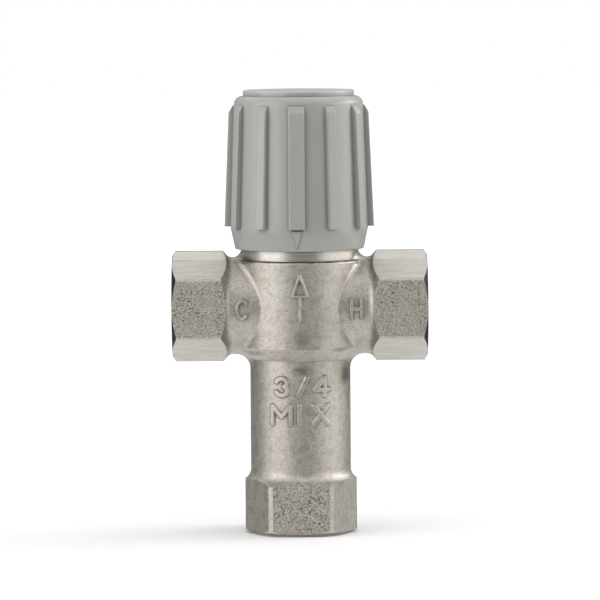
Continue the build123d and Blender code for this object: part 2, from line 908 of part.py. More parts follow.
# Spindle seals: two rubber rings, turning with the spindle in the bonnet's neck.
with BuildPart() as spindle_oring_lower:
    add(
        seal_ring(
            spindle_seal_inner_r, spindle_bore_r - seal_gap, lower_seal_z, spindle_seal_height
        )
    )
with BuildPart() as spindle_oring_upper:
    add(
        seal_ring(
            spindle_seal_inner_r, spindle_bore_r - seal_gap, upper_seal_z, spindle_seal_height
        )
    )

# Thrust washer: slippery plastic, between the spindle's collar and the bonnet's roof.
with BuildPart() as thrust_washer:
    add(ring(spindle_bearing_r + loose_gap, collar_r, collar_top_z, bonnet_bore_top_z))

# Spindle clip: spring steel, over the bonnet's neck.
with BuildPart() as spindle_clip:
    add(
        open_clip(
            e_clip_seat_r,
            spindle_bearing_r + e_clip_reach,
            e_clip_z,
            e_clip_z + e_clip_thickness,
            e_clip_mouth_angle,
        )
    )


def core_r(height):
    """The knob's outer radius between its ribs at a height above the skirt."""
    share = (height - skirt_top_z) / (knob_shoulder_z - skirt_top_z)
    return skirt_top_r - core_taper * share


def knob_rib(width):
    """One upright grip rib of the knob, standing on the +X side of the core."""
    foot_r = core_r(rib_foot_z) + rib_foot_reach
    bend_z = rib_head_z - rib_head_slope
    bend_r = core_r(bend_z) + rib_head_reach
    head_r = core_r(rib_head_z) + rib_head_top_reach
    with BuildPart() as rib:
        with BuildSketch(Plane.XZ):
            with BuildLine():
                Polyline(
                    (core_r(rib_foot_z) - rib_root, rib_foot_z),
                    (foot_r, rib_foot_z),
                    (bend_r, bend_z),
                    (head_r, rib_head_z),
                    (core_r(rib_head_z) - rib_root, rib_head_z),
                    close=True,
                )
            make_face()
            fillet(vertices().sort_by_distance((bend_r, bend_z))[0], rib_head_r)
        extrude(amount=width / 2, both=True)
        outer_edges = ShapeList()
        for side in rib.faces().filter_by(Axis.Y):
            outer_edges += side.edges().filter_by(Axis.X, reverse=True).sort_by(Axis.X)[1:]
        fillet(outer_edges, rib_edge_r)
    return rib.part


# Index mark: a raised wedge on the skirt under the wide rib, its tip at the lip.
with BuildPart() as index_mark:
    with BuildSketch(Plane.XZ):
        with BuildLine():
            Polyline(
                (-mark_width / 2, skirt_top_z),
                (mark_width / 2, skirt_top_z),
                (0, skirt_top_z - mark_height),
                close=True,
            )
        make_face()
    extrude(amount=2 * skirt_top_r)
    add(
        turned(
            [
                (skirt_lip_r - skirt_lip_wall / 2, knob_bottom_z),
                (skirt_lip_r + mark_proud, knob_bottom_z),
                (skirt_top_r + mark_proud, skirt_top_z),
                (skirt_top_r - skirt_lip_wall / 2, skirt_top_z),
            ]
        ),
        mode=Mode.INTERSECT,
    )

# Knob: one grey moulding with eleven narrow ribs, a wide index rib and a stop finger.
cavity_top_r = core_top_r - knob_wall
cavity_middle_r = skirt_top_r - knob_wall
narrow_rib = knob_rib(rib_width)
index_rib = knob_rib(index_rib_width)
index_angle = -90 + rib_ring_turn
with BuildPart() as knob:
    with BuildSketch(Plane.XZ):
        with BuildLine():
            Polyline(
                (0, knob_bottom_z),
                (skirt_lip_r, knob_bottom_z),
                (skirt_top_r, skirt_top_z),
                (core_top_r, knob_shoulder_z),
                (cap_recess_r, knob_shoulder_z),
                (cap_recess_r, cap_seat_z),
                (pocket_r, cap_seat_z),
                (pocket_r, pocket_floor_z),
                (0, pocket_floor_z),
                close=True,
            )
        make_face()
        fillet(vertices().sort_by_distance((skirt_lip_r, knob_bottom_z))[0], skirt_lip_edge_r)
        fillet(vertices().sort_by_distance((core_top_r, knob_shoulder_z))[0], knob_shoulder_r)
    revolve(axis=Axis.Z)
    for rib_number in range(1, rib_count):
        add(narrow_rib.rotate(Axis.Z, index_angle + rib_number * 360 / rib_count))
    add(index_rib.rotate(Axis.Z, index_angle))
    add(index_mark.part.rotate(Axis.Z, rib_ring_turn))
    add(
        turned(
            [
                (0, knob_bottom_z),
                (skirt_bore_r, knob_bottom_z),
                (cavity_middle_r, skirt_top_z),
                (cavity_top_r, web_bottom_z),
                (knob_hub_r, web_bottom_z),
                (knob_hub_r, knob_hub_bottom_z),
                (0, knob_hub_bottom_z),
            ]
        ),
        mode=Mode.SUBTRACT,
    )
    with BuildSketch(Plane.XY.offset(web_bottom_z - web_rib_height)):
        with PolarLocations((knob_hub_r + cavity_top_r) / 2, web_rib_count, start_angle=45):
            Rectangle(cavity_top_r - knob_hub_r + web_rib_width, web_rib_width)
    extrude(amount=web_rib_height + web_thickness / 2)
    add(
        sector(
            stop_inner_r, stop_outer_r, -90, stop_arc, bonnet_roof_z + stop_end_gap, pocket_floor_z
        )
    )
    with BuildSketch(Plane.XY.offset(knob_hub_bottom_z)):
        Circle(drive_r + running_gap)
        Rectangle(
            2 * drive_r + 2 * running_gap,
            2 * drive_half_flat + 2 * running_gap,
            mode=Mode.INTERSECT,
        )
    extrude(amount=knob_hub_engagement, mode=Mode.SUBTRACT)
    with BuildSketch(Plane.XY.offset(spindle_top_z)):
        Circle(screw_r + loose_gap)
    extrude(amount=knob_hub_floor, mode=Mode.SUBTRACT)

# Knob cap: a grey disc snapped into the knob's top by four legs.
cap_under_z = cap_top_z - cap_top_wall
cap_rim_inner_r = cap_r - cap_rim_wall
with BuildPart() as knob_cap:
    with BuildSketch(Plane.XZ):
        with BuildLine():
            Line((0, cap_under_z), (0, cap_top_z))
            ThreePointArc(
                (0, cap_top_z), (cap_r / 2, cap_top_z - cap_dome / 4), (cap_r, cap_top_z - cap_dome)
            )
            Polyline(
                (cap_r, cap_top_z - cap_dome),
                (cap_r, cap_seat_z),
                (cap_rim_inner_r, cap_seat_z),
                (cap_rim_inner_r, cap_under_z),
                (0, cap_under_z),
            )
        make_face()
        fillet(vertices().sort_by_distance((cap_r, cap_top_z))[0], cap_edge_r)
    revolve(axis=Axis.Z)
    with BuildSketch(Plane.XY.offset(pocket_floor_z + cap_leg_foot_gap)):
        Circle(pocket_r - loose_gap)
        Circle(pocket_r - loose_gap - cap_leg_wall, mode=Mode.SUBTRACT)
        with PolarLocations(pocket_r, cap_leg_count):
            Rectangle(pocket_r, cap_leg_width, mode=Mode.INTERSECT)
    extrude(amount=cap_under_z + cap_top_wall / 2 - pocket_floor_z - cap_leg_foot_gap)

# Knob screw: steel, socket headed, pulls the knob down on the spindle.
with BuildPart() as knob_screw:
    with BuildSketch(Plane.XY.offset(screw_bottom_z)):
        Circle(screw_r)
    extrude(amount=screw_length)
    with BuildSketch(Plane.XY.offset(pocket_floor_z)):
        Circle(screw_head_r)
    extrude(amount=screw_head_height)
    fillet(knob_screw.edges().group_by(Axis.Z)[-1], screw_head_edge_r)
    with BuildSketch(Plane.XY.offset(pocket_floor_z + screw_head_height)):
        RegularPolygon(screw_socket_half_af, 6, major_radius=False)
    extrude(amount=-screw_socket_depth, mode=Mode.SUBTRACT)

pieces = {
    "valve_body": valve_body,
    "bonnet": bonnet,
    "bonnet_oring": bonnet_oring,
    "divider_ring": divider_ring,
    "divider_oring": divider_oring,
    "divider_clip": divider_clip,
    "spring_seat_ring": spring_seat_ring,
    "return_spring": return_spring,
    "shuttle": shuttle,
    "shuttle_seal": shuttle_seal,
    "element_cup": element_cup,
    "element_guide": element_guide,
    "element_sleeve": element_sleeve,
    "wax_charge": wax_charge,
    "element_pin": element_pin,
    "overload_plunger": overload_plunger,
    "plunger_clip": plunger_clip,
    "overload_spring": overload_spring,
    "setting_nut": setting_nut,
    "spindle": spindle,
    "spindle_oring_lower": spindle_oring_lower,
    "spindle_oring_upper": spindle_oring_upper,
    "thrust_washer": thrust_washer,
    "spindle_clip": spindle_clip,
    "knob": knob,
    "knob_cap": knob_cap,
    "knob_screw": knob_screw,
}
for name, piece in pieces.items():
    piece.part.label = name
    export_step(piece.part, f"parts/{name}.step")
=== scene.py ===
"""The looks of a mixing valve for hot and cold water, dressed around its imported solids."""

import json
import math

import bmesh
import bpy
import numpy as np
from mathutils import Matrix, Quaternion, Vector


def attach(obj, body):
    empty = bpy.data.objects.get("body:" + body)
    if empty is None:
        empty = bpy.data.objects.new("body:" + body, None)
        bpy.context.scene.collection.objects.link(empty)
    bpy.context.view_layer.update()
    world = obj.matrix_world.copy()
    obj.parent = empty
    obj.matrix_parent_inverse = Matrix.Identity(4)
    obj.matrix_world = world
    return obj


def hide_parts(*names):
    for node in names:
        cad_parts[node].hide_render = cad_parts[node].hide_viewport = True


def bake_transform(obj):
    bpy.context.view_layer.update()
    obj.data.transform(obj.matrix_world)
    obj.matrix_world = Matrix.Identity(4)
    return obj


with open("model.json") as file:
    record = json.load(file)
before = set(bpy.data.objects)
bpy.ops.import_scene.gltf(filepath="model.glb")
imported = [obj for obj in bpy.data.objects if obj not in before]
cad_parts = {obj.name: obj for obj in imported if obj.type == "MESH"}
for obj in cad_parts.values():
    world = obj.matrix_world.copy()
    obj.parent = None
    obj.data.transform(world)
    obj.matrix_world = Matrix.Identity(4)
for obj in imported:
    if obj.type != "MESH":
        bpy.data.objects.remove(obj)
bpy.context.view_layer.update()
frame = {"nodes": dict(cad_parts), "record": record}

# The valve body. One piece of brass, forged in two half dies, blasted, bored and threaded,
# then nickel plated to a warm satin grey. The blasting leaves a fine grain all over it, the
# front and back flats keep the scale pits of the forging, and the neck shows the lathe's lines.
MM = 0.001
# the sizes and places below are in millimetres, from the middle of the outlet's face
PORT_AXIS = 73.4
PORT_FACE = 41.15
BARREL_TOP = 88.5
FLAT_START = 23.4
CHAMFER_START = 39.4
OUTLET_FLAT_TOP = 17.8
FORGED_SHARP_DEGREES = 28
# each dark oval's place across and up, its half width and half height, and how much it darkens
# painted shade and stains: the two ovals where the neck meets the barrel and the two at the barrel's
# lower edge are painted shade, the one under the arrow is a stain with painted dark reflection, the
# one at the pipe's right a smudge with painted shade, and the one in the pipe's middle is pits
STAINS_AND_PAINTED_SHADE = (
    (-17.5, 88.6, 3.6, 1.3, 0.8),
    (17.6, 88.6, 1.6, 0.8, 0.4),
    (0.6, 64.0, 3.0, 3.2, 0.38),
    (0.4, 53.4, 3.4, 1.6, 0.6),
    (14.4, 51.5, 1.8, 3.4, 0.65),
    (-14.6, 58.9, 3.5, 1.0, 0.5),
    (13.0, 60.2, 3.0, 0.9, 0.5),
)


def linear(hex_colour):
    """An sRGB hex colour as linear RGBA: each channel plus 0.055, over 1.055, to the power 2.4."""
    channels = np.array([int(hex_colour[i : i + 2], 16) for i in (1, 3, 5)]) / 255
    low, high = channels / 12.92, ((channels + 0.055) / 1.055) ** 2.4
    return (*np.where(channels <= 0.04045, low, high), 1.0)


def add_node(tree, kind, inputs=(), out=0, **settings):
    """Adds one node with its settings and links, and gives back one of its outputs."""
    node = tree.nodes.new("ShaderNode" + kind)
    for name, value in settings.items():
        setattr(node, name, value)
    for name, value in dict(inputs).items():
        if isinstance(value, bpy.types.NodeSocket):
            tree.links.new(value, node.inputs[name])
        else:
            node.inputs[name].default_value = value
    return node.outputs[out] if len(node.outputs) else None


def between(tree, value, low, high, softness):
    """One from low to high and nought outside, with edges as wide as the softness."""
    product = 1.0
    for start, end in ((low - softness, low + softness), (high + softness, high - softness)):
        limits = {"Value": value, "From Min": start, "From Max": end}
        side = add_node(tree, "MapRange", limits, interpolation_type="SMOOTHSTEP")
        product = add_node(tree, "Math", {0: side, 1: product}, operation="MULTIPLY")
    return product


def coated(tree, under, over, amount, *masks):
    """One colour laid over another, as thick as the amount where every mask is one."""
    for mask in masks:
        amount = add_node(tree, "Math", {0: amount, 1: mask}, operation="MULTIPLY")
    return add_node(tree, "Mix", {0: amount, 6: under, 7: over}, out=2, data_type="RGBA")


def new_material(name, **finish):
    """A node material and its Principled shader, with the finish set on the shader's sockets."""
    material = bpy.data.materials.new(name)
    material.use_nodes = True
    tree = material.node_tree
    tree.nodes.clear()
    finish = {key.replace("_", " ").title().replace("Ior", "IOR"): finish[key] for key in finish}
    surface = add_node(tree, "BsdfPrincipled", finish)
    add_node(tree, "OutputMaterial", {"Surface": surface})
    return material, tree, surface.node


def stains_and_painted_shade(tree, tone, point, patches):
    """Dark ovals, alike on front and back, broken up: a few stains and pits, and painted shade and
    painted dark reflection.
    """
    broken = between(tree, patches, 0.42, 1, 0.1)
    for oval_x, oval_z, half_width, half_height, amount in STAINS_AND_PAINTED_SHADE:
        place = {"Vector": point, "Location": (oval_x * MM, 0, oval_z * MM)}
        place["Scale"] = (half_width * MM, 1, half_height * MM)
        oval = add_node(tree, "Mapping", place, vector_type="TEXTURE")
        apart = add_node(tree, "VectorMath", {0: oval}, out="Value", operation="LENGTH")
        near = add_node(tree, "MapRange", {"Value": apart, "From Min": 1.2, "From Max": 0.4})
        # painted shade and painted dark reflection, with a few stains: each oval darkens the tone
        tone = coated(tree, tone, linear("#564d44"), amount, near, broken)
    return tone


def satin_nickel():
    """Satin nickel plate on blasted brass: a warm grey metal that spreads its highlights wide."""
    material, tree, shader = new_material("satin_nickel_on_forged_brass", metallic=1.0)
    point = add_node(tree, "TexCoord", out="Object")
    x = add_node(tree, "SeparateXYZ", {"Vector": point})
    z = x.node.outputs["Z"]
    facing_x = add_node(tree, "SeparateXYZ", {"Vector": point.node.outputs["Normal"]})
    facing_y, facing_z = facing_x.node.outputs["Y"], facing_x.node.outputs["Z"]
    away, side_facing, front_facing, top_facing = (
        add_node(tree, "Math", {0: value}, operation="ABSOLUTE")
        for value in (x, facing_x, facing_y, facing_z)
    )
    fine, specks, pits, patches, cloud = (
        add_node(tree, "TexNoise", {"Vector": point, "Scale": 1 / (size * MM), "Detail": detail})
        for size, detail in ((0.45, 3.0), (0.42, 2.0), (0.75, 1.0), (2.2, 3.0), (7.0, 3.0))
    )

    # where the surface is: on a hexagon, on its raw front and back flats, on its milled flats
    on_side = between(tree, away, FLAT_START * MM, 1, 0.05 * MM)
    at_mouth = between(tree, away, CHAMFER_START * MM, 1, 0.1 * MM)
    on_outlet = between(tree, z, -1, OUTLET_FLAT_TOP * MM, 0.05 * MM)
    on_hexagon = add_node(tree, "Math", {0: on_side, 1: on_outlet}, operation="MAXIMUM")
    facing_front = between(tree, front_facing, 0.985, 2, 0.008)
    raw = add_node(tree, "Math", {0: on_hexagon, 1: facing_front}, operation="MULTIPLY")
    facing_up = between(tree, top_facing, 0.75, 0.95, 0.03)
    milled = add_node(tree, "Math", {0: on_side, 1: facing_up}, operation="MULTIPLY")
    chamfered = between(tree, side_facing, 0.6, 0.95, 0.02)
    on_neck = between(tree, z, (BARREL_TOP + 0.2) * MM, 1, 0.05 * MM)
    # painted shade: the corners that ambient occlusion finds are darkened below
    occlusion = add_node(tree, "AmbientOcclusion", {"Distance": 1.4 * MM}, out="AO", samples=16)
    corner_shade = add_node(tree, "MapRange", {"Value": occlusion, "From Min": 0.93, "From Max": 0.6})

    # the plate's own tone, a little cloudy, with the blasted grain drawn at 0.45 mm to show
    tone = coated(tree, linear("#aaa49c"), linear("#b9b5ae"), cloud)
    tone = coated(tree, tone, linear("#867f76"), 0.4, between(tree, fine, 0, 0.44, 0.06))
    tone = coated(tree, tone, linear("#ccc8c1"), 0.28, between(tree, fine, 0.56, 1, 0.05))
    tone = coated(tree, tone, linear("#8d867d"), 0.35, between(tree, patches, 0, 0.44, 0.08))
    # the raw flats: dull, with light and dark specks, and pits where the scale was pressed in
    clustered = between(tree, cloud, 0.5, 1, 0.04)
    tone = coated(tree, tone, linear("#bab4ab"), 0.8, raw)
    tone = coated(tree, tone, linear("#e6dfd3"), 0.5, raw, between(tree, specks, 0.57, 1, 0.03))
    tone = coated(tree, tone, linear("#7b736a"), 0.6, raw, between(tree, specks, 0, 0.43, 0.03))
    pitted = between(tree, pits, 0, 0.38, 0.03)
    tone = coated(tree, tone, linear("#3d3934"), 0.75, raw, pitted, clustered)
    # the milled flats: paler, with the cutter's streaks along the port
    along_port = add_node(tree, "Mapping", {"Vector": point, "Scale": (0.06, 1, 1)})
    cutter_lines = {"Vector": along_port, "Scale": 1 / (0.5 * MM), "Detail": 3.0}
    streaks = add_node(tree, "TexNoise", cutter_lines)
    tone = coated(tree, tone, linear("#c4c0bc"), 0.6, milled)
    tone = coated(tree, tone, linear("#97938e"), 0.4, milled, between(tree, streaks, 0, 0.46, 0.08))
    # painted dark reflection and painted shadow: the turned chamfers at the side ports are painted
    # near black, and the foot of the outlet darker, as a painted contact shadow
    tone = coated(tree, tone, linear("#1d1c1a"), 0.95, at_mouth, chamfered)
    tone = coated(tree, tone, linear("#55504a"), 0.6, between(tree, z, -1, 0.8 * MM, 0.5 * MM))
    # painted shade: a ragged dark line in the step where the turned neck leaves the raw forging, and
    # darker corners where ambient occlusion finds them
    waver = add_node(tree, "TexNoise", {"Vector": point, "Scale": 1 / (3 * MM), "Detail": 4.0})
    ragged = add_node(tree, "Math", {0: waver, 1: 1.2 * MM, 2: z}, operation="MULTIPLY_ADD")
    line = between(tree, ragged, (BARREL_TOP + 0.35) * MM, (BARREL_TOP + 0.8) * MM, 0.12 * MM)
    on_barrel = between(tree, away, -1, 19.0 * MM, 0.5 * MM)
    tone = coated(tree, tone, linear("#3a3530"), 0.75, line, on_barrel)
    tone = coated(tree, tone, linear("#4a4239"), 0.8, corner_shade)
    tone = coated(tree, tone, linear("#bebab3"), 0.5, on_neck)
    tree.links.new(stains_and_painted_shade(tree, tone, point, patches), shader.inputs["Base Color"])

    rough = add_node(tree, "MapRange", {"Value": patches, "To Min": 0.38, "To Max": 0.58})
    rough = add_node(tree, "Mix", {"Factor": on_neck, "A": rough, "B": 0.3})
    tree.links.new(rough, shader.inputs["Roughness"])

    lathe = {"W": z, "Scale": 1 / (0.25 * MM), "Detail": 2.0}
    turning = add_node(tree, "TexNoise", lathe, noise_dimensions="1D")
    blasted = add_node(tree, "Math", {0: fine, 1: patches}, operation="ADD")
    deep = add_node(tree, "Math", {0: specks, 1: raw, 2: blasted}, operation="MULTIPLY_ADD")
    relief = add_node(tree, "Mix", {"Factor": on_neck, "A": deep, "B": turning})
    bump = {"Height": relief, "Distance": 0.12 * MM, "Strength": 0.5}
    tree.links.new(add_node(tree, "Bump", bump), shader.inputs["Normal"])
    return material


def smooth_copy(node_name, sharp_degrees, material, pressed_by=None, pressed_from_below=False):
    """A welded copy of a solid that stands for it, shaded smooth except across sharp edges.

    A spring pressed by another body is baked where it stands, not attached to a body, and nothing
    shortens it. pressed_from_below is not used.
    """
    mesh = frame["nodes"][node_name].data.copy()
    mesh.name = node_name + "_skin"
    welded = bmesh.new()
    welded.from_mesh(mesh)
    bmesh.ops.remove_doubles(welded, verts=welded.verts, dist=0.002 * MM)
    welded.to_mesh(mesh)
    welded.free()
    if mesh.has_custom_normals:
        mesh.attributes.remove(mesh.attributes["custom_normal"])
    mesh.shade_smooth()
    mesh.set_sharp_from_angle(angle=math.radians(sharp_degrees))
    mesh.materials.clear()
    mesh.materials.append(material)
    piece = bpy.data.objects.new(node_name + "_skin", mesh)
    bpy.context.collection.objects.link(piece)
    weighting = piece.modifiers.new("flats_stay_flat", "WEIGHTED_NORMAL")
    weighting.keep_sharp = True
    body = next(body for body, nodes in bodies.items() if node_name in nodes)
    if pressed_by:
        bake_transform(piece)
    else:
        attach(piece, body)
    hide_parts(node_name)


bodies = frame["record"]["behaviour"]["bodies"]
nickel = satin_nickel()
smooth_copy("valve_body", FORGED_SHARP_DEGREES, nickel)

# The forged marks. The dies leave them standing about 0.7 mm proud of the front of the body,
# with rounded crests and sloping sides: an index arrow under the knob, a letter beside each
# inlet, and the pipe size with the word MIX over the outlet.
MARK_RISE = 0.7
MARK_SLOPE = 0.65
# the foot lies this far under the skin, and a narrow edge around it dives deeper
MARK_SINK = 0.06
MARK_EDGE_SINK = 0.25
MARK_EDGE = 0.3
MARK_BACK = 0.8
MARK_STEP = 0.12
ARC_POINTS = 17
BARREL_R = 20.0
BRANCH_R = 15.7
PIPE_R = 16.2


def arc(centre_x, centre_z, radius_x, radius_z, first, last):
    """Points on an ellipse between two angles in degrees."""
    angles = np.radians(np.linspace(first, last, ARC_POINTS))
    across, up = radius_x * np.cos(angles), radius_z * np.sin(angles)
    return list(zip(centre_x + across, centre_z + up, strict=True))


def stroke_distance(x, z, strokes):
    """The distance from each point to the nearest stroke: the least of the distances to its
    straight segments, each found by dropping a foot on the segment and keeping it within it."""
    nearest = np.full(x.shape, np.inf)
    for stroke in strokes:
        for (start_x, start_z), (end_x, end_z) in zip(stroke[:-1], stroke[1:], strict=True):
            run_x, run_z = end_x - start_x, end_z - start_z
            along = ((x - start_x) * run_x + (z - start_z) * run_z) / (run_x**2 + run_z**2)
            along = np.clip(along, 0, 1)
            gap = np.hypot(x - start_x - along * run_x, z - start_z - along * run_z)
            nearest = np.minimum(nearest, gap)
    return nearest


def smooth_step(value):
    """Nought below nought, one above one, and 3t^2 - 2t^3 between."""
    value = np.clip(value, 0, 1)
    return value * value * (3 - 2 * value)


def mesh_piece(name, points, faces, material, body):
    """A finished piece from its points in millimetres and its quads."""
    used, inverse = np.unique(faces, return_inverse=True)
    mesh = bpy.data.meshes.new(name)
    mesh.from_pydata(points[used] * MM, [], inverse.reshape(faces.shape).tolist())
    mesh.shade_smooth()
    mesh.materials.append(material)
    piece = bpy.data.objects.new(name, mesh)
    bpy.context.collection.objects.link(piece)
    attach(piece, body)
    return piece


def forged_mark(name, strokes, half_width, round_r, along_branch=False):
    """A mark standing proud of a round of the body.

    Its front is the round pushed out by a crest that falls with the distance from the
    strokes, and sinks just under the skin where the mark ends. Only the cells near a
    stroke are kept, and they are closed with side walls and a back inside the metal.
    """
    every = np.vstack([np.array(stroke) for stroke in strokes])
    margin = half_width + 1.0
    xs = np.arange(every[:, 0].min() - margin, every[:, 0].max() + margin, MARK_STEP)
    zs = np.arange(every[:, 1].min() - margin, every[:, 1].max() + margin, MARK_STEP)
    x, z = np.meshgrid(xs, zs, indexing="ij")
    gap = stroke_distance(x, z, strokes)
    crest_end = half_width - MARK_SLOPE / 2
    foot = half_width + MARK_SLOPE / 2
    rise = MARK_RISE * (1 - smooth_step((gap - crest_end) / MARK_SLOPE)) - MARK_SINK
    rise = rise - MARK_EDGE_SINK * smooth_step((gap - foot) / MARK_EDGE)
    across = z - PORT_AXIS if along_branch else x
    depth = np.sqrt(round_r**2 - across**2)
    out_y, out_other = depth / round_r, across / round_r
    front = np.stack([x, -(depth + rise * out_y), z], axis=-1)
    shift = rise * out_other
    front[..., 2 if along_branch else 0] += shift
    back = np.stack([x, -(depth - MARK_BACK), z], axis=-1)
    points = np.concatenate([front.reshape(-1, 3), back.reshape(-1, 3)])

    keep = gap[:-1, :-1] < foot + MARK_EDGE
    index = np.arange(x.size).reshape(x.shape)
    corners = index[:-1, :-1], index[1:, :-1], index[1:, 1:], index[:-1, 1:]
    a, b, c, d = (corner[keep] for corner in corners)
    under = x.size
    faces = [np.stack([a, b, c, d], 1), np.stack([d, c, b, a], 1) + under]
    padded = np.pad(keep, 1)
    for move, start, end in (
        ((-1, 0), 0, 3),
        ((1, 0), 2, 1),
        ((0, -1), 1, 0),
        ((0, 1), 3, 2),
    ):
        neighbour = padded[1 + move[0] : 1 + move[0] + keep.shape[0], :]
        neighbour = neighbour[:, 1 + move[1] : 1 + move[1] + keep.shape[1]]
        edge = keep & ~neighbour
        p, q = corners[start][edge], corners[end][edge]
        faces.append(np.stack([p, q, q + under, p + under], 1))
    mesh_piece(name, points, np.concatenate(faces), nickel, "root")


arrow_head = [[(-2.35, 77.6), (-0.1, 84.1), (2.35, 77.6), (-2.35, 77.6)]]
arrow_stem = [[(0.0, 77.6), (0.0, 69.8)]]
forged_mark("index_arrow_mark", arrow_head + arrow_stem, 0.45, BARREL_R)
cold_letter = [arc(-18.4, 73.2, 1.75, 2.85, 45, 315)]
forged_mark("cold_letter_mark", cold_letter, 0.55, BRANCH_R, along_branch=True)
hot_letter = [
    [(16.6, 70.4), (16.6, 76.0)],
    [(19.7, 70.4), (19.7, 76.0)],
    [(16.6, 73.2), (19.7, 73.2)],
]
forged_mark("hot_letter_mark", hot_letter, 0.6, BRANCH_R, along_branch=True)
size_figures = [
    arc(-5.95, 49.6, 1.7, 1.3, 165, -70),
    arc(-5.95, 47.0, 1.8, 1.45, 70, -165),
    [(-0.6, 45.5), (2.1, 51.0)],
    [(7.7, 45.5), (7.7, 51.1), (4.7, 47.3), (8.9, 47.3)],
]
forged_mark("size_mark", size_figures, 0.8, PIPE_R)
mix_letters = [
    [(-8.9, 36.3), (-8.9, 42.1), (-6.05, 38.6), (-3.2, 42.1), (-3.2, 36.3)],
    [(-0.4, 36.3), (-0.4, 42.1)],
    [(4.3, 36.3), (8.7, 42.1)],
    [(4.3, 42.1), (8.7, 36.3)],
]
forged_mark("mix_mark", mix_letters, 0.75, PIPE_R)

# The pipe threads of the three ports. Cut with a tap, 14 to the inch, so the crest winds
# inwards from the wall once every 1.814 mm and fades out at the mouth and at the bottom.
THREAD_PITCH = 25.4 / 14
THREAD_ROOT_R = 13.22
THREAD_CREST_R = 12.06
THREAD_HALF_ROOT = 0.44 * THREAD_PITCH
THREAD_HALF_CREST = 0.08 * THREAD_PITCH
# the first turn's depth in the port, and how far the ridge is set into the wall
THREAD_START = 1.6
THREAD_IN_WALL = 0.15
THREAD_FADE_ANGLE = 0.6 * math.pi
THREAD_SIDES = 72


def pipe_thread(name, to_mouth, mouth, length):
    """A helical ridge: at each angle a four-point section, wide at the wall and narrow at
    the crest, moved along the port by one pitch for each turn and shrunk at both ends."""
    turns = length / THREAD_PITCH
    angle = np.linspace(0, 2 * math.pi * turns, int(turns * THREAD_SIDES) + 1)
    fade = smooth_step(np.minimum(angle, angle[-1] - angle) / THREAD_FADE_ANGLE)
    inner = THREAD_ROOT_R - (THREAD_ROOT_R - THREAD_CREST_R) * fade
    outer = np.full_like(angle, THREAD_ROOT_R + THREAD_IN_WALL)
    radii = np.stack([outer, inner, inner, outer], 1)
    half_widths = (-THREAD_HALF_ROOT, -THREAD_HALF_CREST, THREAD_HALF_CREST, THREAD_HALF_ROOT)
    advance = (THREAD_START + THREAD_PITCH * angle / (2 * math.pi))[:, None]
    depth = advance + np.array(half_widths)
    across, up = radii * np.cos(angle)[:, None], radii * np.sin(angle)[:, None]
    axis = np.array(to_mouth, dtype=float)
    side = np.array([0.0, 1.0, 0.0])
    third = np.cross(axis, side)
    points = (
        np.array(mouth)
        - depth[..., None] * axis
        + across[..., None] * side
        + up[..., None] * third
    ).reshape(-1, 3)
    ring = np.arange(len(angle) * 4).reshape(-1, 4)
    first, second = ring[:-1], ring[1:]
    around = [
        np.stack([first[:, i], first[:, (i + 1) % 4], second[:, (i + 1) % 4], second[:, i]], 1)
        for i in range(4)
    ]
    caps = np.array([ring[0][::-1], ring[-1]])
    faces = np.concatenate([*around, caps])
    piece = mesh_piece(name, points, faces, nickel, "root")
    piece.data.set_sharp_from_angle(angle=math.radians(40))


pipe_thread("hot_thread", (1, 0, 0), (PORT_FACE, 0, PORT_AXIS), 12.2)
pipe_thread("cold_thread", (-1, 0, 0), (-PORT_FACE, 0, PORT_AXIS), 12.2)
pipe_thread("outlet_thread", (0, 0, -1), (0, 0, 0), 12.4)

# The knob and its cap. Both are moulded in a grey ABS with a fine spark-eroded texture,
# which gives a soft sheen and no sharp reflections. The cap snaps into the knob's top.


def grey_moulding(name, hex_colour, roughness):
    """Moulded ABS: an even colour, a little cloudy, with painted shade in its corners and a texture
    too fine to feel.
    """
    material, tree, shader = new_material(name, roughness=roughness, ior=1.52)
    point = add_node(tree, "TexCoord", out="Object")
    cloud = add_node(tree, "TexNoise", {"Vector": point, "Scale": 1 / (12 * MM)})
    base = linear(hex_colour)
    shade = tuple(0.93 * channel for channel in base[:3]) + (1.0,)
    tone = coated(tree, shade, base, cloud)
    # painted shade: the corners that ambient occlusion finds are darkened
    occlusion = add_node(tree, "AmbientOcclusion", {"Distance": 1.5 * MM}, out="AO", samples=8)
    corner_shade = add_node(tree, "MapRange", {"Value": occlusion, "From Min": 0.95, "From Max": 0.4})
    tone = coated(tree, tone, linear("#4a4946"), 0.6, corner_shade)
    tree.links.new(tone, shader.inputs["Base Color"])
    # edges rounded by the mould, and spark-eroded texture, drawn at 0.4 mm so that it shows
    rounded = add_node(tree, "Bevel", {"Radius": 0.35 * MM}, samples=6)
    texture = add_node(tree, "TexNoise", {"Vector": point, "Scale": 1 / (0.4 * MM)})
    bump = {"Height": texture, "Distance": 0.02 * MM, "Strength": 0.35, "Normal": rounded}
    tree.links.new(add_node(tree, "Bump", bump), shader.inputs["Normal"])
    return material


MOULDED_SHARP_DEGREES = 25
smooth_copy("knob", MOULDED_SHARP_DEGREES, grey_moulding("grey_abs_knob", "#979793", 0.3))
smooth_copy("knob_cap", MOULDED_SHARP_DEGREES, grey_moulding("grey_abs_cap", "#a6a5a0", 0.3))

# The inner metal pieces. The bonnet, spindle, nut, plunger and element guide are turned from
# brass bar, the element's cup is drawn copper, and the springs, clips, pin, screw and seat
# ring are stainless steel.


